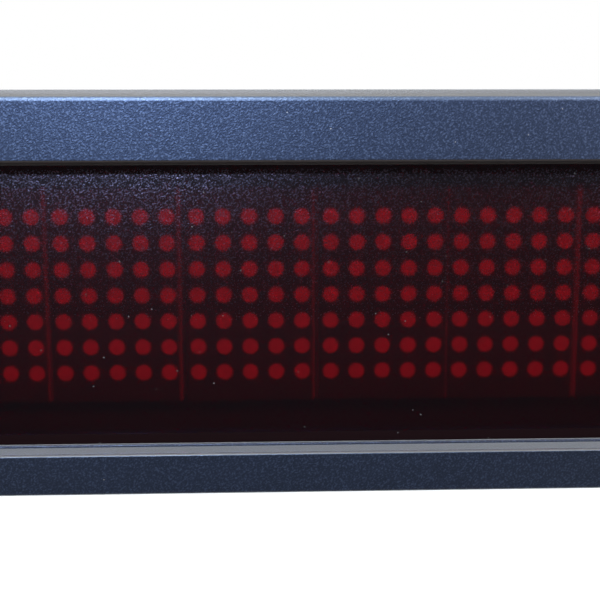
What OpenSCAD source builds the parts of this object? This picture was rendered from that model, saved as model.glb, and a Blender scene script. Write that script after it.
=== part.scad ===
// Dot-matrix LED indicator: an extruded case with a red filter window,
// eight display packages on one board, end caps and side connectors.
// Front faces -Y, height is +Z, lengths are in millimetres.

/* [Case] */
// Thickness of the top, bottom and rear walls
wall = 2; // [1.6:0.1:2.4]
// Height of the bar above the window
top_bar_h = 10.25; // [9.5:0.05:12]
// Height of the bar below the window
bottom_bar_h = 6.2; // [5.6:0.1:7.5]
// Radius of the upper long edge at the front
top_edge_r = 1.7; // [0.8:0.1:2]
// Radius of the lower long edge at the front
bottom_edge_r = 0.4; // [0.2:0.1:1]
// Radius of the long outer edges at the rear
rear_edge_r = 2; // [1:0.1:2.5]
// Radius of the bars' edges along the opening
opening_edge_r = 0.4; // [0.2:0.05:0.6]
// Dark margin between the outermost display and the end of the case
side_margin = 6.8; // [4:0.1:12]

/* [Window] */
// Depth of the open recess in front of the lip
recess = 3.65; // [2.5:0.05:5]
// Height of the lip that holds the window
lip_h = 0.4; // [0.3:0.05:0.8]
// Thickness of the lip
lip_t = 0.65; // [0.6:0.05:1.2]
// Thickness of the window
window_t = 3; // [2:0.1:4]
// Depth of the window's edge in its groove
window_hold = 2; // [1.5:0.1:2.2]
// Clearance round the window in its groove
window_clear = 0.15; // [0.1:0.01:0.25]
// Gap between the window and the faces of the displays
window_gap = 2.15; // [0.5:0.05:4]
// Thickness of the web over the upper groove
web_t = 1.8; // [1.2:0.1:2.2]
// Room between the displays and the upper lip
room_above = 3.25; // [2.6:0.05:6]
// Room between the displays and the lower lip
room_below = 5.5; // [2.6:0.05:8]

/* [Displays] */
// Distance between neighbouring dots
dot_pitch = 4; // [3.9:0.05:4.1]
// Diameter of a dot
dot_d = 2.4; // [2:0.05:2.8]
// Depth of a dot's surface under the black face
dot_sink = 0.05; // [0.02:0.01:0.1]
// Thickness of a display package
display_t = 6.5; // [5.5:0.1:7.5]
// Thickness of the package's perforated front
display_front_t = 3.2; // [2.5:0.1:4]
// Thickness of the package's side walls
display_wall = 1.2; // [0.8:0.1:1.5]
// How much narrower a package is than its columns of dots
display_slack = 0.1; // [0.04:0.01:0.2]
// Length of the package beyond its rows of dots, at each end
display_end = 2.5; // [2:0.1:3]
// Diameter of a display's pin
display_pin_d = 0.5; // [0.4:0.05:0.6]
// Distance between neighbouring pins
display_pin_pitch = 2.54; // [2:0.01:2.7]
// Distance between the two rows of pins
display_pin_span = 25.4; // [22:0.1:27]

/* [Seams] */
// Seam between displays 1 and 2
seam_1 = 0.35; // [0:0.01:0.6]
// Seam between displays 2 and 3
seam_2 = 0.32; // [0:0.01:0.6]
// Seam between displays 3 and 4
seam_3 = 0.48; // [0:0.01:0.6]
// Seam between displays 4 and 5
seam_4 = 0.41; // [0:0.01:0.6]
// Seam between displays 5 and 6
seam_5 = 0.03; // [0:0.01:0.6]
// Seam between displays 6 and 7
seam_6 = 0.35; // [0:0.01:0.6]
// Seam between displays 7 and 8
seam_7 = 0.35; // [0:0.01:0.6]

/* [Board] */
// Thickness of the board
board_t = 1.6; // [1.2:0.1:2]
// Clearance between the board and its slots
slot_clear = 0.15; // [0.1:0.01:0.25]
// Thickness of the ribs that form the slots
slot_rib_t = 1.2; // [0.8:0.1:1.5]
// Height of the ribs that form the slots
slot_h = 2.5; // [2:0.1:3]
// Clearance round a pin in the board
pin_clear = 0.15; // [0.1:0.01:0.25]
// How far a pin sticks out behind the board
pin_out = 1.2; // [0.8:0.1:1.6]

/* [Ends] */
// Length of an end cap
cap_l = 6; // [5:0.1:9]
// Thickness of an end cap's outer wall
cap_skin = 2; // [1.5:0.1:2.5]
// Radius of an end cap's outer edges
cap_edge_r = 1.2; // [0.5:0.1:1.6]
// Thickness of an end gasket
gasket_t = 0.8; // [0.5:0.1:1.2]
// How far an end gasket is set in from the outside
gasket_inset = 0.3; // [0.1:0.05:0.6]
// Size of the blocks that take the screws
port_block = 5; // [4.6:0.1:6]
// Distance of a screw from the outer faces beside it
port_inset = 4.4; // [4:0.1:4.8]
// Diameter of a cap screw's shank
screw_d = 2.4; // [2:0.1:2.6]
// Length of a cap screw in the case
screw_grip = 8; // [5:0.5:14]
// Diameter of a cap screw's head
screw_head_d = 5; // [4.4:0.1:5.4]
// Height of a cap screw's head
screw_head_h = 1.8; // [1.4:0.1:2.2]
// Clearance round a screw's shank in its port
port_clear = 0.05; // [0.03:0.01:0.1]
// Clearance round a screw in the cap and the gasket
screw_clear = 0.25; // [0.15:0.05:0.4]

/* [Rear mount] */
// Distance between the two clinch nuts
nut_spacing = 100; // [80:1:120]
// Diameter of the nut's threaded bore
nut_bore_d = 3.3; // [2.5:0.1:3.5]
// Diameter of the nut's shank in the wall
nut_shank_d = 5.4; // [5:0.1:6]
// Diameter of the nut's head inside the case
nut_head_d = 8; // [7:0.1:9]
// Height of the nut's head
nut_head_h = 2.2; // [1.8:0.1:3]

/* [Power jack] */
// Room between the jack and the screw block below it
jack_room = 1; // [0.5:0.1:2]
// Width of the jack's body
jack_w = 9; // [8.8:0.1:9.6]
// Height of the jack's body above the board
jack_h = 11; // [10.5:0.1:12]
// Length of the jack's body
jack_l = 12; // [11:0.1:14]
// Distance of the jack's axis from the board
jack_axis = 6.5; // [6:0.1:6.6]
// Diameter of the jack's barrel
jack_barrel_d = 8.4; // [8:0.1:8.6]
// Diameter of the jack's bore
jack_bore_d = 6.4; // [6:0.1:6.8]
// Depth of the jack's bore
jack_bore_l = 10; // [9:0.1:11]
// Diameter of the jack's centre pin
jack_pin_d = 2; // [1.9:0.1:2.6]
// How far the pin's tip lies inside the mouth
jack_pin_sink = 0.8; // [0.4:0.1:1.5]
// Clearance round the connectors in the end cap
socket_clear = 0.2; // [0.1:0.05:0.3]

/* [Data socket] */
// Room between the flange and the rear wall
socket_room = 0.65; // [0.3:0.05:3]
// Length of the flange
flange_l = 30.8; // [30:0.1:32]
// Width of the flange
flange_w = 12.5; // [12:0.1:12.8]
// Thickness of the flange
flange_t = 1; // [0.8:0.1:1.2]
// Length of the collar along its wide side
collar_l = 16.4; // [16:0.1:17]
// Width of the collar
collar_w = 8; // [7.6:0.1:8.4]
// How far the collar stands out from the flange
collar_h = 5.9; // [5:0.1:6.2]
// Thickness of the collar
collar_t = 0.5; // [0.4:0.05:0.7]
// Distance between the contacts in a row
contact_pitch = 2.77; // [2.7:0.01:2.8]
// Distance between the two rows of contacts
contact_rows = 2.84; // [2.7:0.01:2.9]
// Diameter of a contact hole
contact_d = 1.1; // [1:0.05:1.2]
// Depth of the insulator behind the flange
data_body_l = 8; // [7:0.1:10]
// Distance of a jackscrew from the flange's end
jackscrew_edge = 2.9; // [2.8:0.1:3.4]
// Width of a jackscrew across its flats
jackscrew_af = 4.8; // [4.5:0.1:5]
// How far a jackscrew stands out from the end cap
jackscrew_h = 5; // [4:0.1:6]
// Diameter of a jackscrew's stud
jackscrew_d = 2.8; // [2.5:0.1:3]

/* [Electronics] */
// Length of a column driver
driver_l = 15.4; // [13:0.1:17]
// Width of a driver's moulding
driver_w = 7.5; // [7:0.1:8]
// Height of a driver's moulding
driver_h = 2.4; // [2:0.1:2.8]
// Side of the controller's moulding
controller_w = 9; // [7:0.1:9.4]
// Height of the controller's moulding
controller_h = 1.4; // [1.2:0.1:1.8]
// Length of the crystal's can
crystal_l = 11.2; // [10:0.1:12]
// Width of the crystal's can
crystal_w = 4.6; // [4:0.1:5]
// Height of the crystal's can
crystal_h = 3.6; // [3:0.1:5]
// Side of the regulator's moulding
regulator_w = 6.4; // [6:0.1:7]
// Height of the regulator's moulding
regulator_h = 2.3; // [2:0.1:3]
// Diameter of a capacitor's can
capacitor_d = 8; // [6:0.1:9]
// Height of a capacitor's can
capacitor_h = 10; // [8:0.1:10.5]
// Distance between the feet of a moulded package
lead_pitch = 1.27; // [1.2:0.01:1.3]
// Reach of a package's feet beyond its moulding
lead_reach = 1.4; // [1:0.1:1.8]
// Thickness of a package's feet
lead_t = 0.25; // [0.2:0.01:0.3]
// Width of a package's feet
lead_w = 0.42; // [0.35:0.01:0.5]

/* [Hidden] */
$fn = 64;
eps = 0.01;
over = 1;
columns = 5;
rows = 7;
display_count = 8;
pins_in_row = 7;
driver_count = 5;

// Places along the depth, measured from the front face
groove_front = recess + lip_t;
window_front = groove_front + window_clear;
window_back = window_front + window_t;
groove_back = window_back + window_clear;
face_s = window_back + window_gap;
port_back = groove_back + port_block;
dot_end = face_s + display_front_t + eps;
board_front = face_s + display_t;
board_back = board_front + board_t;
wall_front = board_back + slot_clear + flange_w + socket_room;
case_d = wall_front + wall;

// Heights along the window
display_h = rows * dot_pitch + 2 * display_end;
sill_z = bottom_bar_h;
gap_low = sill_z + lip_h;
axis_z = gap_low + room_below + display_h / 2;
gap_high = axis_z + display_h / 2 + room_above;
head_z = gap_high + lip_h;
case_h = head_z + top_bar_h;
groove_low = gap_low - window_hold - window_clear;
groove_high = gap_high + window_hold + window_clear;
web_z = groove_high + web_t;
ceiling = case_h - wall;

// Displays along the length
seams = [seam_1, seam_2, seam_3, seam_4, seam_5, seam_6, seam_7];
display_step = columns * dot_pitch;
display_w = display_step - display_slack;
middle_seam = display_count / 2;
function seams_before(n) = n < 1 ? 0 : seams[n - 1] + seams_before(n - 1);
seam_origin = seams_before(middle_seam) - seams[middle_seam - 1] / 2;
function display_x(i) = (i - middle_seam - 0.5) * display_step + seams_before(i - 1) - seam_origin;
half_l = max(display_x(display_count), -display_x(1)) + display_step / 2 + side_margin;

// Ends of the case
cap_in = half_l + gasket_t;
cap_out = cap_in + cap_l;
skin_in = cap_out - cap_skin;
head_seat = cap_out - screw_head_h;
screw_tip = half_l - screw_grip;
ports = [for (s = [groove_back + port_block / 2, case_d - port_inset],
              z = [port_inset, case_h - port_inset]) [s, z]];
port_d = screw_d + 2 * port_clear;
screw_hole_d = screw_d + 2 * screw_clear;
shift_x = -jackscrew_h / 2;

// Board and sockets
board_left = -half_l + slot_clear;
board_right = skin_in - slot_clear;
jack_s = board_back + jack_axis;
jack_z = wall + port_block + jack_room + jack_w / 2;
jack_back = skin_in - slot_clear - jack_l;
jack_mouth = cap_out - socket_clear;
jack_tab_t = 0.6;
jack_tab_w = 2.4;
data_s = board_back + slot_clear + flange_w / 2;
data_z = (jack_z + jack_w / 2 + ceiling - port_block) / 2;
jackscrew_spacing = flange_l - 2 * jackscrew_edge;
flange_back = skin_in - flange_t;
data_back = flange_back - data_body_l;
data_slant = 10;
contact_pin_d = 0.6;
first_tail = 4;
tail_end = board_front + slot_clear;
nut_z = case_h / 2;
hex_d = jackscrew_af / cos(30);
jackscrew_bore_d = 2.2;
nut_boss_l = 3;
nut_boss_d = jackscrew_d + 2;
stud_clear = 0.1;

// Electronics on the back of the board, in two rows between the displays' pins
pin_room = 1.5;
band = display_pin_span / 2 - pin_room - lead_reach;
upper_z = axis_z + band - driver_w / 2;
lower_z = axis_z - band + controller_w / 2;
driver_first_x = -70;
driver_last_x = 50;
driver_step = (driver_last_x - driver_first_x) / (driver_count - 1);
row_driver_x = -25;
row_driver_l = 11.6;
controller_x = 5;
crystal_x = 22;
transceiver_x = 66;
transceiver_l = 9.9;
transceiver_w = 3.9;
regulator_x = 38;
capacitor_x = [63, 74];
capacitor_base_h = 1.2;
capacitor_base_rim = 0.3;
chip_lift = 0.1;
lead_inset = 2;

// Moves a piece into the part's frame
module placed() {
    translate([shift_x, -case_d / 2, 0]) children();
}

// Extrudes a section drawn as [depth, height] along X
module along_x(from, to) {
    translate([from, 0, 0]) rotate([90, 0, 90]) linear_extrude(to - from) children();
}

// A box between two corners
module box(low, high) {
    translate(low) cube(high - low);
}

// A rectangle between two depths and two heights
module area(s0, s1, z0, z1) {
    translate([s0, z0]) square([s1 - s0, z1 - z0]);
}

// A round bar along X
module bar_x(from, to, s, z, d) {
    translate([from, s, z]) rotate([0, 90, 0]) cylinder(d = d, h = to - from);
}

// A round bar along the depth
module bar_s(from, to, x, z, d) {
    translate([x, from, z]) rotate([-90, 0, 0]) cylinder(d = d, h = to - from);
}

// What a round edge takes off a square corner at [s, z]; back is 1 for a corner at the front,
// up is 1 for an upper corner
module corner_cut(s, z, back, up, r) {
    translate([s, z]) scale([back, -up]) difference() {
        translate([-eps, -eps]) square(r + eps);
        translate([r, r]) circle(r);
    }
}

// Outline of the case, with its own radius at each edge
module outline(inset = 0) {
    difference() {
        area(inset, case_d - inset, inset, case_h - inset);
        corner_cut(inset, inset, 1, -1, bottom_edge_r);
        corner_cut(inset, case_h - inset, 1, 1, top_edge_r);
        corner_cut(case_d - inset, inset, -1, -1, rear_edge_r);
        corner_cut(case_d - inset, case_h - inset, -1, 1, rear_edge_r);
    }
}

// Blocks that take the screws, in the rear corners of the hollow
module port_blocks() {
    for (z = [[wall - eps, wall + port_block], [ceiling - port_block, ceiling + eps]])
        area(wall_front - port_block, wall_front + eps, z[0], z[1]);
}

// Pair of ribs on each side of the board's edge
module slot_ribs() {
    for (z = [[wall - eps, wall + slot_h], [ceiling - slot_h, ceiling + eps]]) {
        area(board_front - slot_clear - slot_rib_t, board_front - slot_clear, z[0], z[1]);
        area(board_back + slot_clear, board_back + slot_clear + slot_rib_t, z[0], z[1]);
    }
}

module case_section() {
    difference() {
        union() {
            difference() {
                outline();
                area(-over, recess, sill_z, head_z);
                area(recess - eps, port_back, gap_low, gap_high);
                area(groove_front, groove_back, groove_low, groove_high);
                area(port_back - eps, wall_front, wall, ceiling);
                area(wall, groove_back - wall, web_z, ceiling);
                corner_cut(0, sill_z, 1, 1, opening_edge_r);
                corner_cut(0, head_z, 1, -1, opening_edge_r);
                corner_cut(recess, gap_low, 1, 1, lip_h / 2);
                corner_cut(recess, gap_high, 1, -1, lip_h / 2);
            }
            port_blocks();
            slot_ribs();
        }
        for (p = ports) translate(p) circle(d = port_d);
    }
}

module case_profile() {
    color("#33425f") difference() {
        along_x(-half_l, half_l) case_section();
        for (x = [-1, 1])
            bar_s(wall_front - over, case_d + over, x * nut_spacing / 2 - shift_x, nut_z, nut_shank_d);
    }
}

module filter_window() {
    color("#3a1216") box([-half_l + window_clear, window_front, groove_low + window_clear],
                         [half_l - window_clear, window_back, groove_high - window_clear]);
}

// Outline of a cap's rim: solid in front, hollow behind the displays
module rim(inset = 0) {
    difference() {
        outline(inset);
        difference() {
            area(port_back, wall_front, wall, ceiling);
            port_blocks();
        }
    }
}

// Rectangle whose two far corners are round
module round_end(near, far, low, high, r) {
    translate([near, low]) square([far - near - r, high - low]);
    translate([near, low + r]) square([far - near, high - low - 2 * r]);
    for (v = [low + r, high - r]) translate([far - r, v]) circle(r);
}

// Body of an end cap at the +X end, with its outer edges rounded
module cap_body() {
    difference() {
        intersection() {
            along_x(cap_in, cap_out) outline();
            translate([0, case_d + over, 0]) rotate([90, 0, 0]) linear_extrude(case_d + 2 * over)
                round_end(cap_in - over, cap_out, 0, case_h, cap_edge_r);
            translate([0, 0, -over]) linear_extrude(case_h + 2 * over)
                round_end(cap_in - over, cap_out, 0, case_d, cap_edge_r);
        }
        difference() {
            box([cap_in - over, port_back, wall], [skin_in, wall_front, ceiling]);
            along_x(cap_in - 2 * over, skin_in + over) port_blocks();
        }
        for (p = ports) {
            bar_x(cap_in - over, cap_out + over, p[0], p[1], screw_hole_d);
            bar_x(head_seat, cap_out + over, p[0], p[1], screw_head_d + 2 * screw_clear);
        }
    }
}

// The same piece at the left end
module left_end() {
    mirror([1, 0, 0]) children();
}

module end_cap_left() {
    color("#33425f") left_end() cap_body();
}

module end_cap_right() {
    color("#33425f") difference() {
        cap_body();
        bar_x(skin_in - over, cap_out + over, jack_s, jack_z, jack_barrel_d + 2 * socket_clear);
        along_x(skin_in - over, cap_out + over) collar_outline(socket_clear);
        for (side = [-1, 1])
            bar_x(skin_in - over, cap_out + over, data_s, data_z + side * jackscrew_spacing / 2,
                  jackscrew_d + 2 * socket_clear);
    }
}

module gasket() {
    difference() {
        along_x(half_l, cap_in) rim(gasket_inset);
        for (p = ports) bar_x(half_l - over, cap_in + over, p[0], p[1], screw_hole_d);
    }
}

module end_gasket_left() {
    color("#151515") left_end() gasket();
}

module end_gasket_right() {
    color("#151515") gasket();
}

// Pan-head screw with a cross recess
module cap_screw(s, z) {
    slot_t = 0.8;
    slot_l = 2.8;
    slot_deep = 1.1;
    difference() {
        union() {
            bar_x(screw_tip, head_seat + eps, s, z, screw_d);
            bar_x(head_seat, cap_out, s, z, screw_head_d);
        }
        for (arm = [[slot_l, slot_t], [slot_t, slot_l]])
            translate([cap_out - slot_deep, s - arm[0] / 2, z - arm[1] / 2])
                cube([slot_deep + over, arm[0], arm[1]]);
    }
}

module cap_screws() {
    color("#9a9da0") for (p = ports) {
        cap_screw(p[0], p[1]);
        left_end() cap_screw(p[0], p[1]);
    }
}

// Places of a display's dots, then of its pins, as [x, z]
function dot_places(i) = [for (c = [0:columns - 1], r = [0:rows - 1])
    [display_x(i) + (c - (columns - 1) / 2) * dot_pitch, axis_z + (r - (rows - 1) / 2) * dot_pitch]];
function pin_places(i) = [for (n = [0:pins_in_row - 1], side = [-1, 1])
    [display_x(i) + (n - (pins_in_row - 1) / 2) * display_pin_pitch, axis_z + side * display_pin_span / 2]];

// Block of a display's outer size, drawn in by its walls
module display_block(i, from, to, inset) {
    x = display_x(i);
    box([x - display_w / 2 + inset, from, axis_z - display_h / 2 + inset],
        [x + display_w / 2 - inset, to, axis_z + display_h / 2 - inset]);
}

module display_shell(i) {
    color("#1b1b1d") difference() {
        display_block(i, face_s, board_front, 0);
        display_block(i, face_s + display_front_t, board_front + over, display_wall);
        for (p = dot_places(i)) bar_s(face_s - over, dot_end, p[0], p[1], dot_d);
    }
}

module display_dots(i) {
    color("#c9a3a3") difference() {
        union() {
            display_block(i, face_s + display_front_t, board_front, display_wall);
            for (p = dot_places(i)) bar_s(face_s + dot_sink, dot_end, p[0], p[1], dot_d);
        }
        for (p = pin_places(i))
            bar_s(board_front - display_front_t / 2, board_front + over, p[0], p[1], display_pin_d);
    }
}

module display_pins(i) {
    color("#b9bbbd") for (p = pin_places(i))
        bar_s(board_front - display_front_t / 2, board_back + pin_out, p[0], p[1], display_pin_d);
}

// Places of the data socket's contacts as [depth, height, tail's x]
function contact_places() = [for (row = [0, 1], n = [0:4 - row])
    [data_s + (row - 0.5) * contact_rows, data_z + (n - (4 - row) / 2) * contact_pitch,
     data_back - first_tail + row * contact_rows]];

module display_board() {
    pin_hole_d = display_pin_d + 2 * pin_clear;
    color("#2f5d3a") difference() {
        box([board_left, board_front, wall + slot_clear], [board_right, board_back, ceiling - slot_clear]);
        for (i = [1:display_count], p = pin_places(i))
            bar_s(board_front - over, board_back + over, p[0], p[1], pin_hole_d);
        for (p = contact_places())
            bar_s(board_front - over, board_back + over, p[2], p[1], contact_pin_d + 2 * pin_clear);
        box([jack_back - jack_tab_t - pin_clear, board_front - over, jack_z - jack_tab_w / 2 - pin_clear],
            [jack_back + pin_clear, board_back + over, jack_z + jack_tab_w / 2 + pin_clear]);
    }
}

// Gull-wing foot at [x, z], reaching out along +Z when side is 1
module foot(x, z, side, lift) {
    knee = lead_reach / 2;
    translate([x - lead_w / 2, 0, z]) scale([1, 1, side]) {
        box([0, lift, -lead_t], [lead_w, lift + lead_t, knee]);
        box([0, board_back, knee - lead_t], [lead_w, lift + lead_t, knee]);
        box([0, board_back, knee - lead_t], [lead_w, board_back + lead_t, lead_reach]);
    }
}

// Moulded package with feet along its two long sides
module package(x, z, l, w, h, feet) {
    lift = board_back + chip_lift + h / 2;
    box([x - l / 2, board_back + chip_lift, z - w / 2], [x + l / 2, board_back + chip_lift + h, z + w / 2]);
    for (n = [0:feet - 1], side = [-1, 1])
        foot(x + (n - (feet - 1) / 2) * lead_pitch, z + side * w / 2, side, lift);
}

// How many feet fit along a side
function feet_on(l) = floor((l - lead_inset) / lead_pitch) + 1;

module column_driver(i) {
    color("#202124") package(driver_first_x + (i - 1) * driver_step, upper_z, driver_l, driver_w, driver_h,
                             feet_on(driver_l));
}

module row_driver() {
    color("#202124") package(row_driver_x, lower_z, row_driver_l, driver_w, driver_h, feet_on(row_driver_l));
}

module controller() {
    color("#202124") union() {
        package(controller_x, lower_z, controller_w, controller_w, controller_h, feet_on(controller_w));
        translate([controller_x, 0, lower_z]) rotate([0, 90, 0]) translate([-controller_x, 0, -lower_z])
            package(controller_x, lower_z, controller_w, controller_w, controller_h, feet_on(controller_w));
    }
}

module crystal() {
    rim_w = 0.4;
    rim_h = 0.6;
    color("#b4b7ba") union() {
        box([crystal_x - crystal_l / 2, board_back, lower_z - crystal_w / 2],
            [crystal_x + crystal_l / 2, board_back + rim_h, lower_z + crystal_w / 2]);
        box([crystal_x - crystal_l / 2 + rim_w, board_back, lower_z - crystal_w / 2 + rim_w],
            [crystal_x + crystal_l / 2 - rim_w, board_back + crystal_h, lower_z + crystal_w / 2 - rim_w]);
    }
}

module line_transceiver() {
    color("#202124") package(transceiver_x, upper_z, transceiver_l, transceiver_w, controller_h,
                             feet_on(transceiver_l));
}

module regulator() {
    tab_t = 0.5;
    color("#202124") union() {
        package(regulator_x, lower_z, regulator_w, regulator_w, regulator_h, 2);
        box([regulator_x - regulator_w / 2 + tab_t, board_back, lower_z - regulator_w / 2 - lead_reach],
            [regulator_x + regulator_w / 2 - tab_t, board_back + tab_t, lower_z + regulator_w / 2]);
    }
}

module capacitor(i) {
    x = capacitor_x[i - 1];
    base = capacitor_d / 2 + capacitor_base_rim;
    color("#8d9094") union() {
        box([x - base, board_back, lower_z - base],
            [x + base, board_back + capacitor_base_h, lower_z + base]);
        bar_s(board_back, board_back + capacitor_h, x, lower_z, capacitor_d);
    }
}

module power_jack() {
    color("#17181a") difference() {
        union() {
            box([jack_back, board_back, jack_z - jack_w / 2],
                [skin_in - slot_clear, board_back + jack_h, jack_z + jack_w / 2]);
            bar_x(jack_back, jack_mouth, jack_s, jack_z, jack_barrel_d);
        }
        bar_x(jack_mouth - jack_bore_l, jack_mouth + over, jack_s, jack_z, jack_bore_d);
        bar_x(jack_back - over, jack_mouth, jack_s, jack_z, jack_pin_d);
    }
}

module power_pin() {
    color("#c8b26a") union() {
        bar_x(jack_back - jack_tab_t, jack_mouth - jack_pin_sink, jack_s, jack_z, jack_pin_d);
        box([jack_back - jack_tab_t, tail_end, jack_z - jack_tab_w / 2],
            [jack_back, jack_s + jack_pin_d / 2, jack_z + jack_tab_w / 2]);
    }
}

// Slant-sided outline of the data socket's collar, grown by a margin
module collar_outline(margin) {
    w = collar_w / 2 + margin;
    wide = collar_l / 2 + margin;
    narrow = wide - 2 * w * tan(data_slant);
    cut = collar_w / 5;
    translate([data_s, data_z])
        polygon([[-w, cut - wide], [cut - w, -wide], [w - cut, -narrow], [w, cut - narrow],
                 [w, narrow - cut], [w - cut, narrow], [cut - w, wide], [-w, wide - cut]]);
}

module data_shell() {
    color("#b8bbbd") difference() {
        union() {
            box([flange_back, data_s - flange_w / 2, data_z - flange_l / 2],
                [skin_in, data_s + flange_w / 2, data_z + flange_l / 2]);
            along_x(flange_back, skin_in + collar_h) collar_outline(0);
            for (side = [-1, 1])
                bar_x(flange_back - nut_boss_l, skin_in, data_s, data_z + side * jackscrew_spacing / 2,
                      nut_boss_d);
        }
        along_x(flange_back - over, skin_in + collar_h + over) collar_outline(-collar_t);
        for (side = [-1, 1])
            bar_x(flange_back - nut_boss_l - over, skin_in + over, data_s,
                  data_z + side * jackscrew_spacing / 2, jackscrew_d + 2 * stud_clear);
    }
}

module data_insert() {
    face_sink = 0.3;
    color("#1d1e20") difference() {
        union() {
            along_x(flange_back - eps, skin_in + collar_h - face_sink) collar_outline(-collar_t);
            box([data_back, board_back, data_z - collar_l / 2],
                [flange_back, data_s + flange_w / 2 - slot_clear, data_z + collar_l / 2]);
        }
        for (p = contact_places()) {
            bar_x(skin_in, skin_in + collar_h + over, p[0], p[1], contact_d);
            bar_x(data_back - over, skin_in + eps, p[0], p[1], contact_pin_d);
        }
    }
}

module data_contacts() {
    color("#c8b26a") for (p = contact_places()) union() {
        bar_x(p[2], skin_in, p[0], p[1], contact_pin_d);
        bar_s(tail_end, p[0], p[2], p[1], contact_pin_d);
        translate([p[2], p[0], p[1]]) sphere(d = contact_pin_d);
    }
}

module data_jackscrews() {
    bore_l = jackscrew_h - over;
    color("#a4a7a9") for (side = [-1, 1]) {
        z = data_z + side * jackscrew_spacing / 2;
        difference() {
            union() {
                bar_x(flange_back - nut_boss_l, cap_out + eps, data_s, z, jackscrew_d);
                translate([cap_out, data_s, z]) rotate([0, 90, 0])
                    cylinder(d = hex_d, h = jackscrew_h, $fn = 6);
            }
            bar_x(cap_out + jackscrew_h - bore_l, cap_out + jackscrew_h + over, data_s, z, jackscrew_bore_d);
        }
    }
}

module mounting_nuts() {
    color("#a4a7a9") for (side = [-1, 1]) {
        x = side * nut_spacing / 2 - shift_x;
        difference() {
            union() {
                bar_s(wall_front - eps, case_d, x, nut_z, nut_shank_d);
                bar_s(wall_front - nut_head_h, wall_front, x, nut_z, nut_head_d);
            }
            bar_s(wall_front - nut_head_h - over, case_d + over, x, nut_z, nut_bore_d);
        }
    }
}

placed() case_profile();
placed() end_cap_left();
placed() end_cap_right();
placed() end_gasket_left();
placed() end_gasket_right();
placed() cap_screws();
placed() filter_window();
placed() display_board();
for (i = [1:display_count]) {
    placed() display_shell(i);
    placed() display_dots(i);
    placed() display_pins(i);
}
for (i = [1:driver_count])
    placed() column_driver(i);
placed() row_driver();
placed() controller();
placed() crystal();
placed() line_transceiver();
placed() regulator();
for (i = [1:len(capacitor_x)])
    placed() capacitor(i);
placed() power_jack();
placed() power_pin();
placed() data_shell();
placed() data_insert();
placed() data_contacts();
placed() data_jackscrews();
placed() mounting_nuts();
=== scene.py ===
"""Dresses the LED indicator's frame: finishes, stage, lights and the photograph's camera."""

import logging
from dataclasses import dataclass
from enum import Enum

import bmesh
import bpy
from mathutils import Matrix, Quaternion, Vector


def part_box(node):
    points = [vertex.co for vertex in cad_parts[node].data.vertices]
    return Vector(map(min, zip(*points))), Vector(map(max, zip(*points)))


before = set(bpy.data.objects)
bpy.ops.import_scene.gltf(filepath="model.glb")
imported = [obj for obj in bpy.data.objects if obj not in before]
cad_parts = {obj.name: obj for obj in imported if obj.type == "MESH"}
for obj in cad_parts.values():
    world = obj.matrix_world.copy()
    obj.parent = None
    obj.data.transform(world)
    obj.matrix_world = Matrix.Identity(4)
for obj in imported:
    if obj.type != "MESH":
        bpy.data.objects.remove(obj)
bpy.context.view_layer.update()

LOG = logging.getLogger("led_indicator")
MM = 0.001
DISPLAYS = 8
WHITE = (1.0, 1.0, 1.0)
BLACK = (0.0, 0.0, 0.0)

Span = tuple[float, float]
Triple = tuple[float, float, float]
Stops = tuple[Span, ...]


class Family(Enum):
    """Groups of nodes that share one finish, by the start of their names."""

    CASE = ("case_profile", "end_cap_")
    SEAL = ("end_gasket_",)
    WINDOW = ("filter_window",)
    HOUSING = tuple(f"display_{n}_shell" for n in range(1, DISPLAYS + 1))
    DOTS = tuple(f"display_{n}_dots" for n in range(1, DISPLAYS + 1))
    TINNED = tuple(f"display_{n}_pins" for n in range(1, DISPLAYS + 1)) + ("crystal",)
    BOARD = ("display_board",)
    MOULDED = ("column_driver_", "row_driver", "controller", "line_transceiver", "regulator")
    SOCKET = ("power_jack", "data_insert")
    CAN = ("capacitor_",)
    STEEL = ("cap_screws", "data_shell", "data_jackscrews", "mounting_nuts")
    CONTACT = ("power_pin", "data_contacts")

    def nodes(self) -> list[bpy.types.Object]:
        """Gives the frame's objects in this family."""
        return [obj for name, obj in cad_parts.items() if name.startswith(self.value)]


class Ray(Enum):
    """Kinds of ray, by the Light Path node's outputs."""

    CAMERA = "Is Camera Ray"
    DIFFUSE = "Is Diffuse Ray"
    SHADOW = "Is Shadow Ray"


class Value:
    """A shader socket that can be used in Python arithmetic."""

    def __init__(self, owner: "Nodes", socket: bpy.types.NodeSocket) -> None:
        """Wraps a socket.

        Args:
            owner: the nodes that the socket belongs to.
            socket: the output socket to wrap.
        """
        self.owner = owner
        self.socket = socket

    def _math(self, operation: str, first: object, second: object) -> "Value":
        """Adds one Math node.

        Args:
            operation: the node's operation.
            first: a number or Value.
            second: a number or Value.

        Returns:
            The node's result.
        """
        return self.owner.node("ShaderNodeMath", {"operation": operation}, {0: first, 1: second})

    def __add__(self, other: object) -> "Value":
        """Gives self + other."""
        return self._math("ADD", self, other)

    __radd__ = __add__

    def __sub__(self, other: object) -> "Value":
        """Gives self - other."""
        return self._math("SUBTRACT", self, other)

    def __rsub__(self, other: object) -> "Value":
        """Gives other - self."""
        return self._math("SUBTRACT", other, self)

    def __mul__(self, other: object) -> "Value":
        """Gives self * other."""
        return self._math("MULTIPLY", self, other)

    __rmul__ = __mul__

    def __lt__(self, other: object) -> "Value":
        """Gives 1 where self is less than other, and 0 elsewhere."""
        return self._math("LESS_THAN", self, other)

    def __gt__(self, other: object) -> "Value":
        """Gives 1 where self is greater than other, and 0 elsewhere."""
        return self._math("GREATER_THAN", self, other)


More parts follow.
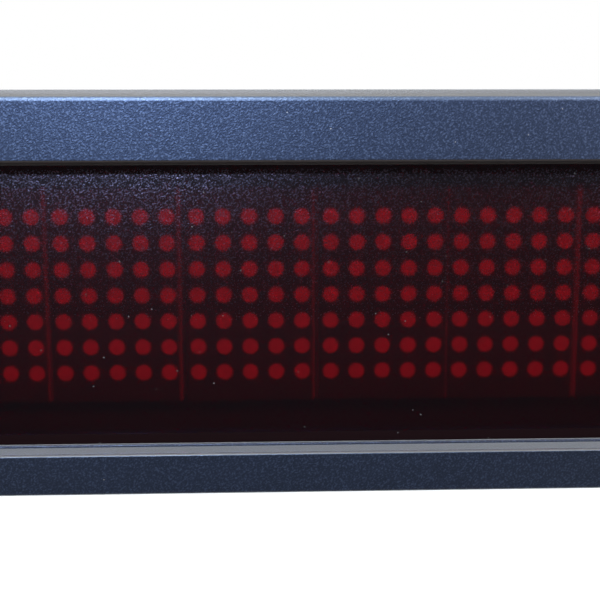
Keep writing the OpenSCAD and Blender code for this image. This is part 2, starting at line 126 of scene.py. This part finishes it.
class Nodes:
    """A node tree whose nodes are written as expressions."""

    def __init__(self, tree: bpy.types.NodeTree) -> None:
        """Takes a tree.

        Args:
            tree: the tree to add nodes to.
        """
        self.tree = tree

    def node(self, kind: str, settings: dict | None = None, inputs: dict | None = None,
             out: str | int = 0) -> Value:
        """Adds a node.

        Args:
            kind: the node's type.
            settings: properties that are set first; a "stops" entry fills a colour ramp.
            inputs: values or links of its sockets, by name or number.
            out: the output to give back.

        Returns:
            The chosen output.
        """
        made = self.tree.nodes.new(kind)
        for key, value in (settings or {}).items():
            if key == "stops":
                self._fill_ramp(made.color_ramp, value)
            else:
                setattr(made, key, value)
        for key, value in (inputs or {}).items():
            self.feed(made.inputs[key], value)
        return Value(self, made.outputs[out])

    @staticmethod
    def _fill_ramp(ramp: bpy.types.ColorRamp, stops: Stops) -> None:
        """Sets a grey ramp's stops.

        Args:
            ramp: the ramp to fill.
            stops: pairs of place and grey level.
        """
        while len(ramp.elements) < len(stops):
            ramp.elements.new(1.0)
        for element, (place, grey) in zip(ramp.elements, stops):
            element.position = place
            element.color = (grey, grey, grey, 1.0)

    def feed(self, socket: bpy.types.NodeSocket, value: object) -> None:
        """Links or sets a socket.

        Args:
            socket: the input to feed.
            value: a Value, a number, or a colour of three numbers.
        """
        if isinstance(value, Value):
            self.tree.links.new(value.socket, socket)
        elif isinstance(value, (tuple, list)) and socket.type == "RGBA":
            socket.default_value = (*value, 1.0)
        else:
            socket.default_value = value

    def blend(self, factor: Value, first: object, second: object) -> Value:
        """Mixes two colours.

        Args:
            factor: 0 for the first and 1 for the second.
            first: a colour.
            second: a colour.

        Returns:
            The mixed colour.
        """
        return self.node("ShaderNodeMix", {"data_type": "RGBA"}, {0: factor, 6: first, 7: second}, out=2)

    def remap(self, value: Value, span: Span) -> Value:
        """Maps a span of a value to 0 to 1, cut off at both ends."""
        least, most = span
        return self.node("ShaderNodeMapRange", None, {"Value": value, "From Min": least, "From Max": most})

    def part(self, vector: Value, letter: str) -> Value:
        """Gives one part of a vector, by its letter."""
        return self.node("ShaderNodeSeparateXYZ", None, {0: vector}, out=letter)

    def ray(self, kind: Ray) -> Value:
        """Gives 1 on rays of one kind and 0 on others."""
        return self.node("ShaderNodeLightPath", out=kind.value)


class Shader(Nodes):
    """A material's nodes."""

    def __init__(self, name: str) -> None:
        """Starts a material with one Principled shader.

        Args:
            name: the material's name.
        """
        self.material = bpy.data.materials.new(name)
        self.material.use_nodes = True
        super().__init__(self.material.node_tree)
        self.principled = self.tree.nodes["Principled BSDF"]
        self.output = self.tree.nodes["Material Output"]

    def surface(self, **sockets: object) -> None:
        """Feeds the Principled shader's sockets, named with _ for a space."""
        for name, value in sockets.items():
            self.feed(self.principled.inputs[name.replace("_", " ")], value)

    def base(self) -> Value:
        """Gives the Principled shader that the material started with."""
        return Value(self, self.principled.outputs[0])

    def plain(self, colour: Triple, roughness: float, specular: float) -> Value:
        """Gives a further Principled shader, of one colour."""
        return self.node("ShaderNodeBsdfPrincipled", None, {
            "Base Color": colour, "Roughness": roughness, "Specular IOR Level": specular})

    def chalky(self, colour: Triple) -> Value:
        """Gives a shader of one colour without any gloss."""
        return self.node("ShaderNodeBsdfDiffuse", None, {"Color": colour})

    def clear(self, colour: Triple) -> Value:
        """Gives a shader that lets tinted light straight through."""
        return self.node("ShaderNodeBsdfTransparent", None, {"Color": colour})

    def mix(self, factor: Value, first: Value, second: Value) -> Value:
        """Mixes two shaders: 0 gives the first and 1 the second."""
        return self.node("ShaderNodeMixShader", None, {0: factor, 1: first, 2: second})

    def show(self, result: Value) -> None:
        """Makes a shader the material's surface."""
        self.feed(self.output.inputs["Surface"], result)

    def place(self) -> Value:
        """Gives the Object coordinates."""
        return self.node("ShaderNodeTexCoord", out="Object")

    def axis(self, letter: str) -> Value:
        """Gives one Object coordinate, by its letter."""
        return self.part(self.place(), letter)

    def facing(self, letter: str) -> Value:
        """Gives one part of the surface's own direction, by its letter."""
        return self.part(self.node("ShaderNodeTexCoord", out="Normal"), letter)

    def noise(self, size: float, detail: float = 2.0, stretch: Triple = (1.0, 1.0, 1.0),
              slant: float = 0.0) -> Value:
        """Gives a noise from 0 to 1.

        Args:
            size: the width of its features, in metres.
            detail: its finer octaves.
            stretch: how much each axis is drawn out.
            slant: how far it is then turned about Y, in radians.

        Returns:
            The noise.
        """
        scale = tuple(size * share for share in stretch)
        where = self.node("ShaderNodeMapping", {"vector_type": "TEXTURE"}, {
            "Vector": self.place(), "Scale": scale, "Rotation": (0.0, slant, 0.0)})
        return self.node("ShaderNodeTexNoise", None, {
            "Vector": where, "Scale": 1.0, "Detail": detail, "Roughness": 0.5})

    def within(self, low: Vector, high: Vector) -> Value:
        """Gives 1 inside a box and 0 outside.

        Args:
            low: the box's low corner, in Object coordinates.
            high: the box's high corner.

        Returns:
            The mask.
        """
        mask = 1.0
        for letter, least, most in zip("XYZ", low, high):
            along = self.axis(letter)
            mask = mask * (along > least) * (along < most)
        return mask

    def ramp(self, value: Value, stops: Stops) -> Value:
        """Maps a value through grey stops."""
        return self.node("ShaderNodeValToRGB", {"stops": stops}, {0: value})

    def bump(self, height: Value, depth: float) -> Value:
        """Gives a normal from a height of 0 to 1, where 1 stands for a depth in metres."""
        return self.node("ShaderNodeBump", None, {"Height": height, "Distance": depth, "Strength": 1.0})


@dataclass(frozen=True)
class SandGrain:
    """Fine sand grain, drawn out a little and leaning to one side."""

    size: float
    depth: float
    stretch: Triple = (1.35, 1.0, 0.95)
    slant: float = -0.65
    fine: float = 1.0
    coarse: float = 0.0

    def sand(self, shader: Shader) -> Value:
        """Gives the grain's height, from 0 to 1."""
        return shader.noise(self.size, self.fine, self.stretch, self.slant)

    def flecks(self, shader: Shader, stops: Stops) -> Value:
        """Gives the tops of the coarse grain, as the stops cut them."""
        return shader.ramp(shader.noise(self.size, self.coarse, self.stretch, self.slant), stops)


@dataclass(frozen=True)
class Dust:
    """Small round specks of dust."""

    colour: Triple
    radius: float
    cover: float
    spacing: float = 2.4 * MM

    def specks(self, shader: Shader) -> Value:
        """Gives 1 on the specks and 0 between them."""
        cells = shader.node("ShaderNodeTexVoronoi", None, {
            "Vector": shader.place(), "Scale": 1.0 / self.spacing, "Randomness": 1.0}, out="Distance")
        return cells < self.radius / self.spacing


@dataclass(frozen=True)
class GrainedBlue:
    """Dark blue metallic coat with a fine grain and painted glints; upward edges carry a painted highlight
    and grey reflection, and the inside painted black shade.
    """

    grain: SandGrain = SandGrain(0.23 * MM, 0.031 * MM)
    dust: Dust = Dust((0.3, 0.31, 0.32), 0.08 * MM, 0.6)
    colour: Triple = (0.0165, 0.0255, 0.055)
    pale: Triple = (0.032, 0.049, 0.1)
    # Painted glints: pale flecks in the coat's colour stand in for the grain's sparkle.
    painted_glint: Triple = (0.053, 0.076, 0.142)
    # Painted highlight: the key lamp's bright line on the upward-tilted rounded edges.
    painted_highlight: Triple = (0.079, 0.106, 0.158)
    # Painted grey reflection of the white above on upward rounded edges, also painted bounce light on the
    # lower lip.
    painted_grey_light: Triple = (0.112, 0.109, 0.103)
    glare: Triple = (0.4, 0.43, 0.5)
    # Brownish black painted as shade inside the case and on the opening's upper side.
    inner: Triple = (0.017, 0.0135, 0.013)
    shade_paint_roughness: float = 0.8
    shade_paint_specular: float = 0.2
    pale_stops: Stops = ((0.35, 0.0), (0.75, 1.0))
    fleck_stops: Stops = ((0.58, 0.0), (0.78, 1.0))
    painted_highlight_stops: Stops = ((0.06, 0.0), (0.16, 1.0), (0.42, 1.0), (0.56, 0.0))
    painted_grey_light_stops: Stops = ((0.3, 0.0), (0.44, 1.0), (0.54, 0.85), (0.8, 0.7), (0.97, 0.7), (0.995, 0.0))
    painted_highlight_base: float = 0.6
    painted_highlight_flecks: float = 0.4
    # Depth of the lower lip in front of the inside, which gets painted bounce light.
    lip_depth: float = 0.9 * MM
    lip_bounce_light: float = 0.2
    hood_shade_edge: float = 0.3 * MM
    hood_shade_margin: float = 2.0 * MM
    metallic: float = 0.92
    metallic_dust: float = 0.8
    metallic_grey_light: float = 0.85
    roughness: float = 0.38
    roughness_drift: float = 0.05
    drift_size: float = 9 * MM
    sheen: float = 0.5
    sheen_roughness: float = 0.45
    sheen_tint: Triple = (0.94, 0.98, 1.0)

    def material(self, low: Vector, high: Vector, front: float, head: float) -> bpy.types.Material:
        """Makes the coat.

        Args:
            low: low corner of the case's inside, painted plain black as shade.
            high: its high corner.
            front: how far forward the case reaches.
            head: height of the opening's upper side, painted black as shade too.

        Returns:
            The material.
        """
        shader = Shader("grained_blue")
        # Painted shade: the case's inside is plain black.
        inside = shader.within(low, high)
        rear = shader.within(low - Vector((0.0, self.lip_depth, 0.0)), high)
        # Painted shade: the opening's upper side, its rounded edge and upper lip are black.
        painted_hood_shade = shader.within(Vector((low.x, front - self.hood_shade_margin, head - self.hood_shade_margin)),
                             Vector((high.x, low.y, head + self.hood_shade_edge)))
        bare = 1.0 - rear
        upward = shader.facing("Z")
        # Painted highlight on upward-tilted edges, by the direction they face.
        painted_highlight = shader.ramp(upward, self.painted_highlight_stops) * bare
        # Painted grey reflection on upward edges, plus painted bounce light on the lower lip.
        painted_grey_light = shader.ramp(upward, self.painted_grey_light_stops) * bare + (rear - inside) * self.lip_bounce_light
        self._coat(shader, painted_highlight, painted_grey_light)
        # Plain black painted as shade.
        black = shader.plain(self.inner, self.shade_paint_roughness, self.shade_paint_specular)
        shader.show(shader.mix(inside + painted_hood_shade, shader.base(), black))
        return shader.material

    def _coat(self, shader: Shader, painted_highlight: Value, painted_grey_light: Value) -> None:
        """Sets the coat with its grain, painted glints, painted highlight, painted grey light and dust.

        Args:
            shader: the material's nodes.
            painted_highlight: how far the painted highlight of the key lamp shows on the edges.
            painted_grey_light: how far the painted grey reflection of the white above, and the lower lip's
                painted bounce light, show.
        """
        sand = self.grain.sand(shader)
        flecks = self.grain.flecks(shader, self.fleck_stops)
        drift = shader.noise(self.drift_size)
        specks = self.dust.specks(shader)
        tint = shader.blend(shader.ramp(sand, self.pale_stops), self.colour, self.pale)
        # Painted glints in the colour.
        tint = shader.blend(flecks, tint, self.painted_glint)
        # Painted highlight, flecked like the grain's glints.
        painted_highlight_share = painted_highlight * (self.painted_highlight_base + flecks * self.painted_highlight_flecks)
        tint = shader.blend(painted_highlight_share, tint, self.painted_highlight)
        tint = shader.blend(painted_grey_light, tint, self.painted_grey_light)
        shader.surface(
            Base_Color=shader.blend(specks * self.dust.cover, tint, self.dust.colour),
            Metallic=self.metallic - specks * self.metallic_dust - painted_grey_light * self.metallic_grey_light,
            Roughness=self.roughness + drift * self.roughness_drift,
            Specular_Tint=self.glare,
            Sheen_Weight=self.sheen,
            Sheen_Roughness=self.sheen_roughness,
            Sheen_Tint=self.sheen_tint,
            Normal=shader.bump(sand, self.grain.depth),
        )


@dataclass(frozen=True)
class RedFilter:
    """Dark red see-through sheet with a matt, grained front and a matt black strip along its foot, painted
    as shade in place of the sill's reflection.
    """

    grain: SandGrain = SandGrain(0.22 * MM, 0.024 * MM)
    dust: Dust = Dust((0.155, 0.155, 0.165), 0.09 * MM, 0.7)
    tint: Triple = (0.322, 0.003, 0.034)
    mirror: Triple = (0.42, 0.4, 0.56)
    gleam: Triple = (0.55, 0.54, 1.0)
    ior: float = 1.49
    roughness: float = 0.03
    roughness_matt: float = 0.24
    haze: float = 0.125
    haze_roughness: float = 0.27
    glint: float = 0.56
    glint_roughness: float = 0.3
    fleck_stops: Stops = ((0.48, 0.0), (0.76, 1.0))
    # Glint strength by height, painted to where the lamps' glints fall.
    painted_glint_fade_stops: Stops = ((0.25, 0.0), (0.9, 1.0), (0.935, 1.0), (0.945, 0.3))
    front_depth: float = 0.1 * MM
    # Matt black painted as shade along the window's foot, in place of the sill's reflection.
    painted_shade_strip: Triple = (0.0065, 0.0031, 0.0037)
    shade_strip_height: float = 3.4 * MM

    def material(self, low: Vector, high: Vector) -> bpy.types.Material:
        """Makes the sheet.

        Args:
            low: its low corner; its matt front faces -Y.
            high: its high corner.

        Returns:
            The material.
        """
        shader = Shader("red_filter")
        skin = Vector((self.front_depth, self.front_depth, self.front_depth))
        matt = shader.within(low - skin, Vector((high.x, low.y, high.z)) + skin)
        # Painted shade strip along the foot of the front.
        shade_foot = shader.within(low - skin, Vector((high.x, low.y, low.z + self.shade_strip_height)) + skin)
        # Glint strength by height: painted to where the lamps' glints fall, cut down in the upper side's
        # shade.
        height = shader.ramp(shader.remap(shader.axis("Z"), (low.z, high.z)), self.painted_glint_fade_stops)
        sheet = self._glossed(shader, self._sheet(shader, matt), matt, height)
        sheet = shader.mix(shade_foot, sheet, shader.chalky(self.painted_shade_strip))
        specks = self.dust.specks(shader) * matt
        shader.show(shader.mix(specks * self.dust.cover, sheet, shader.chalky(self.dust.colour)))
        return shader.material

    def _sheet(self, shader: Shader, matt: Value) -> Value:
        """Makes the sheet without the front's gloss.

        Args:
            shader: the material's nodes.
            matt: 1 on the matt front.

        Returns:
            The sheet, which lets diffuse and shadow rays straight through.
        """
        shader.surface(
            Base_Color=self.tint,
            Transmission_Weight=1.0,
            IOR=self.ior,
            Specular_Tint=self.mirror,
            Roughness=self.roughness + matt * self.roughness_matt,
        )
        clear = shader.clear(tuple(level ** 0.5 for level in self.tint))
        sheet = shader.base()
        for kind in (Ray.DIFFUSE, Ray.SHADOW):
            sheet = shader.mix(shader.ray(kind), sheet, clear)
        return sheet

    def _glossed(self, shader: Shader, sheet: Value, matt: Value, height: Value) -> Value:
        """Adds the front's smooth haze and its glints.

        Args:
            shader: the material's nodes.
            sheet: the sheet without them.
            matt: 1 on the matt front.
            height: how strong the glints are, by height: painted strong on the upper part where the lamps'
                glints fall, and cut down just under the top, in the upper side's shade.

        Returns:
            The sheet with both.
        """
        none = shader.clear(BLACK)
        normal = shader.bump(self.grain.sand(shader), self.grain.depth)
        flecks = self.grain.flecks(shader, self.fleck_stops)
        haze = (self.haze_roughness, matt * self.haze)
        glints = (self.glint_roughness, matt * flecks * height * self.glint)
        for roughness, share in (haze, glints):
            gloss = shader.node("ShaderNodeBsdfGlossy", {"distribution": "BECKMANN"}, {
                "Color": self.gleam, "Roughness": roughness, "Normal": normal})
            veil = shader.mix(share, none, gloss)
            sheet = shader.node("ShaderNodeAddShader", None, {0: sheet, 1: veil})
        return sheet


@dataclass(frozen=True)
class DisplayHousing:
    """White moulding with a black painted face and pale rims painted on as the glow of the lit seams."""

    face: Triple = (0.031, 0.025, 0.025)
    # Pale rim colour painted on as the glow of light in the seams.
    seam_glow: Triple = (0.18, 0.166, 0.162)
    side: Triple = (0.72, 0.70, 0.68)
    mottle_size: float = 0.6 * MM
    mottle_depth: float = 0.004 * MM
    roughness: float = 0.7
    roughness_mottle: float = 0.15
    specular: float = 0.1

    def material(self, name: str, low: Vector, high: Vector) -> bpy.types.Material:
        """Makes the moulding.

        Args:
            name: the material's name.
            low: low corner of the painted face.
            high: its high corner, at the depth where the rims painted as seam glow end.

        Returns:
            The material.
        """
        shader = Shader(name)
        painted = shader.within(low, high)
        front = shader.axis("Y") < high.y
        mottle = shader.noise(self.mottle_size)
        shader.surface(
            Base_Color=shader.blend(painted, shader.blend(front, self.side, self.seam_glow), self.face),
            Roughness=self.roughness + mottle * self.roughness_mottle,
            Specular_IOR_Level=self.specular,
            Normal=shader.bump(mottle, self.mottle_depth),
        )
        return shader.material


@dataclass(frozen=True)
class DotResin:
    """Milky cast resin of the unlit dots."""

    colour: Triple = (0.62, 0.56, 0.55)
    shade: Triple = (0.52, 0.46, 0.45)
    cloud_size: float = 1.1 * MM
    roughness: float = 0.35
    roughness_cloud: float = 0.1

    def material(self) -> bpy.types.Material:
        """Makes the resin.

        Returns:
            The material.
        """
        shader = Shader("dot_resin")
        cloud = shader.noise(self.cloud_size)
        shader.surface(
            Base_Color=shader.blend(cloud, self.colour, self.shade),
            Roughness=self.roughness + cloud * self.roughness_cloud,
        )
        return shader.material


@dataclass(frozen=True)
class Plastic:
    """Moulded plastic with a fine grain."""

    name: str
    colour: Triple
    pale: Triple
    roughness: float = 0.5
    roughness_grain: float = 0.1
    grain_size: float = 0.25 * MM
    grain_depth: float = 0.008 * MM
    drift_size: float = 4 * MM

    def material(self) -> bpy.types.Material:
        """Makes the plastic.

        Returns:
            The material.
        """
        shader = Shader(self.name)
        sand = shader.noise(self.grain_size)
        drift = shader.noise(self.drift_size)
        shader.surface(
            Base_Color=shader.blend(drift, self.colour, self.pale),
            Roughness=self.roughness + sand * self.roughness_grain,
            Normal=shader.bump(sand, self.grain_depth),
        )
        return shader.material


@dataclass(frozen=True)
class Metal:
    """Bare or plated metal with a faint drawn grain."""

    name: str
    colour: Triple
    roughness: float = 0.28
    roughness_grain: float = 0.12
    grain_size: float = 0.12 * MM
    grain_depth: float = 0.003 * MM
    stretch: Triple = (12.0, 1.0, 1.0)
    tarnish_size: float = 2.5 * MM
    tarnish_shade: float = 0.7

    def material(self) -> bpy.types.Material:
        """Makes the metal.

        Returns:
            The material.
        """
        shader = Shader(self.name)
        drawn = shader.noise(self.grain_size, stretch=self.stretch)
        tarnish = shader.noise(self.tarnish_size)
        dull = tuple(level * self.tarnish_shade for level in self.colour)
        shader.surface(
            Base_Color=shader.blend(tarnish, self.colour, dull),
            Metallic=1.0,
            Roughness=self.roughness + drawn * self.roughness_grain,
            Normal=shader.bump(drawn, self.grain_depth),
        )
        return shader.material


def dress_node(obj: bpy.types.Object, material: bpy.types.Material) -> None:
    """Gives one node its material.

    Args:
        obj: the node.
        material: the finish.
    """
    obj.data.materials.clear()
    obj.data.materials.append(material)
    LOG.info("dressed %s with %s", obj.name, material.name)


def dress_family(family: Family, material: bpy.types.Material) -> None:
    """Gives every node of a family one material."""
    for obj in family.nodes():
        dress_node(obj, material)


@dataclass
class Case:
    """Extruded case, its end caps, seals and metal fixings."""

    skin: float = 1.2 * MM
    head: float = 48.75 * MM
    coat: GrainedBlue = GrainedBlue()
    seal: Plastic = Plastic("seal_rubber", (0.012, 0.012, 0.012), (0.02, 0.02, 0.02), 0.7)
    steel: Metal = Metal("plated_steel", (0.62, 0.62, 0.61))

    def dress(self) -> None:
        """Paints the case's pieces; its inside starts at the window's front and under its skin."""
        low, high = (Vector(corner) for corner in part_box("case_profile"))
        front = low.y
        shell = Vector((0.0, self.skin, self.skin))
        low.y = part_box("filter_window")[0][1] - shell.y
        dress_family(Family.CASE, self.coat.material(low + shell, high - shell, front, self.head))
        dress_family(Family.SEAL, self.seal.material())
        dress_family(Family.STEEL, self.steel.material())


@dataclass
class Window:
    """The filter window."""

    sheet: RedFilter = RedFilter()

    def dress(self) -> None:
        """Paints the window."""
        low, high = (Vector(corner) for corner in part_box("filter_window"))
        dress_family(Family.WINDOW, self.sheet.material(low, high))


@dataclass
class Displays:
    """The dot-matrix packages and their board."""

    # How wide the rim painted on as seam glow is, as a share of the seam.
    seam_glow_share: float = 0.75
    film: float = 0.06 * MM
    housing: DisplayHousing = DisplayHousing()
    resin: DotResin = DotResin()
    tin: Metal = Metal("tinned_metal", (0.66, 0.66, 0.64), 0.32)
    laminate: Plastic = Plastic("laminate", (0.012, 0.10, 0.035), (0.02, 0.14, 0.05), 0.4)

    def dress(self) -> None:
        """Paints the displays and the board."""
        self._dress_housings()
        dress_family(Family.DOTS, self.resin.material())
        dress_family(Family.TINNED, self.tin.material())
        dress_family(Family.BOARD, self.laminate.material())

    def _dress_housings(self) -> None:
        """Paints each face up to a pale right rim, painted on as the glow of the lit seam and wider beside
        a wider seam.
        """
        shells = Family.HOUSING.nodes()
        boxes = [[Vector(corner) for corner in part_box(obj.name)] for obj in shells]
        seams = [after[0].x - before[1].x for before, after in zip(boxes, boxes[1:])]
        inner = Vector((-self.film, -self.film, -self.film))
        for obj, (low, high), seam in zip(shells, boxes, [*seams, 0.0]):
            # Leaves a pale right rim, painted as the lit seam's glow.
            outer = Vector((-seam * self.seam_glow_share, low.y - high.y + self.film, self.film))
            dress_node(obj, self.housing.material(f"{obj.name}_finish", low + inner, high + outer))


@dataclass
class Electronics:
    """Parts on the back of the board, and the sockets."""

    moulding: Plastic = Plastic("black_moulding", (0.014, 0.014, 0.015), (0.025, 0.025, 0.027), 0.5)
    socket: Plastic = Plastic("socket_plastic", (0.012, 0.012, 0.013), (0.02, 0.02, 0.021), 0.42)
    can: Metal = Metal("can_metal", (0.72, 0.73, 0.74), 0.25)
    contact: Metal = Metal("contact_plating", (0.83, 0.62, 0.28), 0.22)

    def dress(self) -> None:
        """Paints the electronics."""
        dress_family(Family.MOULDED, self.moulding.material())
        dress_family(Family.SOCKET, self.socket.material())
        dress_family(Family.CAN, self.can.material())
        dress_family(Family.CONTACT, self.contact.material())


@dataclass
class Stage:
    """Pale floor that fades to white, and the room around it."""

    floor_size: float = 6.0
    floor_colour: Triple = (0.86, 0.86, 0.86)
    floor_roughness: float = 0.9
    floor_fade: Span = (0.35, 0.9)
    room: Triple = (0.036, 0.029, 0.02)
    sky_rise: Span = (0.15, 1.0)
    wall_rise: Span = (0.0, 0.4)

    def build(self) -> None:
        """Makes the floor and the world."""
        self._floor()
        self._world()

    def _floor(self) -> None:
        """Makes the floor, which gloss and glass don't show."""
        mesh = bpy.data.meshes.new("floor")
        form = bmesh.new()
        bmesh.ops.create_grid(form, x_segments=1, y_segments=1, size=self.floor_size)
        form.to_mesh(mesh)
        form.free()
        mesh.materials.append(self._floor_finish())
        floor = bpy.data.objects.new("floor", mesh)
        bpy.context.scene.collection.objects.link(floor)
        floor.visible_glossy = False
        floor.visible_transmission = False

    def _floor_finish(self) -> bpy.types.Material:
        """Makes the floor's material.

        Returns:
            The material.
        """
        shader = Shader("pale_floor")
        shader.surface(Base_Color=self.floor_colour, Roughness=self.floor_roughness)
        where = shader.place()
        reach = shader.node("ShaderNodeVectorMath", {"operation": "LENGTH"}, {0: where}, out="Value")
        white = shader.node("ShaderNodeEmission", None, {"Color": WHITE})
        shader.show(shader.mix(shader.remap(reach, self.floor_fade), shader.base(), white))
        return shader.material

    def _world(self) -> None:
        """Makes a dark room, white above and behind, that the camera sees as white all over."""
        world = bpy.data.worlds.new("studio")
        bpy.context.scene.world = world
        world.use_nodes = True
        nodes = Nodes(world.node_tree)
        way = nodes.node("ShaderNodeTexCoord", out="Generated")
        sky = nodes.remap(nodes.part(way, "Z"), self.sky_rise)
        wall = nodes.remap(nodes.part(way, "Y"), self.wall_rise)
        room = nodes.blend(wall, nodes.blend(sky, self.room, WHITE), WHITE)
        seen = nodes.blend(nodes.ray(Ray.CAMERA), room, WHITE)
        nodes.feed(world.node_tree.nodes["Background"].inputs["Color"], seen)


@dataclass(frozen=True)
class Lamp:
    """One area light."""

    name: str
    place: Triple
    size: Span
    power: float
    colour: Triple = WHITE
    roll: float = 0.0
    target: Triple = (0.0, 0.0, 0.03)

    def build(self) -> None:
        """Makes the light and turns it to its target."""
        data = bpy.data.lights.new(self.name, "AREA")
        data.shape = "ELLIPSE"
        data.size, data.size_y = self.size
        data.energy = self.power
        data.color = self.colour
        obj = bpy.data.objects.new(self.name, data)
        bpy.context.scene.collection.objects.link(obj)
        obj.location = self.place
        towards = Vector(self.place) - Vector(self.target)
        turn = towards.to_track_quat("Z", "Y") @ Quaternion((0.0, 0.0, 1.0), self.roll)
        obj.rotation_euler = turn.to_euler()
        obj.visible_camera = False


@dataclass
class Studio:
    """Two narrow lamps in front, left and right, and a wide one overhead."""

    key: Lamp = Lamp("key", (-0.098, -0.4, 0.208), (0.15, 0.02), 2.2, (0.85, 0.92, 1.0), roll=0.13)
    fill: Lamp = Lamp("fill", (0.3, -0.4, 0.24), (0.15, 0.02), 1.8, (1.0, 0.95, 0.92))
    overhead: Lamp = Lamp("overhead", (-0.15, 0.05, 1.1), (0.9, 0.9), 8.0)

    def build(self) -> None:
        """Makes the lamps."""
        for lamp in (self.key, self.fill, self.overhead):
            lamp.build()


@dataclass
class PhotoCamera:
    """The photograph's camera."""

    place: Triple = (-0.009898, -0.158643, 0.049801)
    right: Triple = (0.999462, -0.032688, -0.002818)
    up: Triple = (0.007520, 0.144605, 0.989461)
    focal_pixels: float = 992.6
    frame_pixels: float = 600.0
    sensor_mm: float = 36.0
    clip: Span = (0.005, 50.0)

    def build(self) -> None:
        """Makes the camera and takes it into use."""
        data = bpy.data.cameras.new("photo_camera")
        data.sensor_width = self.sensor_mm
        data.lens = self.focal_pixels / self.frame_pixels * self.sensor_mm
        data.clip_start, data.clip_end = self.clip
        obj = bpy.data.objects.new("photo_camera", data)
        bpy.context.scene.collection.objects.link(obj)
        right = Vector(self.right).normalized()
        back = right.cross(Vector(self.up)).normalized()
        up = back.cross(right)
        turn = Matrix((right, up, back)).transposed().to_4x4()
        obj.matrix_world = Matrix.Translation(Vector(self.place)) @ turn
        bpy.context.scene.camera = obj


def main() -> None:
    """Builds the camera, the stage and the lights, and dresses the part."""
    logging.basicConfig(level=logging.INFO, format="%(name)s: %(message)s")
    bpy.context.scene.view_settings.view_transform = "Standard"
    for scenery in (PhotoCamera(), Stage(), Studio()):
        scenery.build()
    for part in (Case(), Window(), Displays(), Electronics()):
        part.dress()


if __name__ == "__main__":
    main()
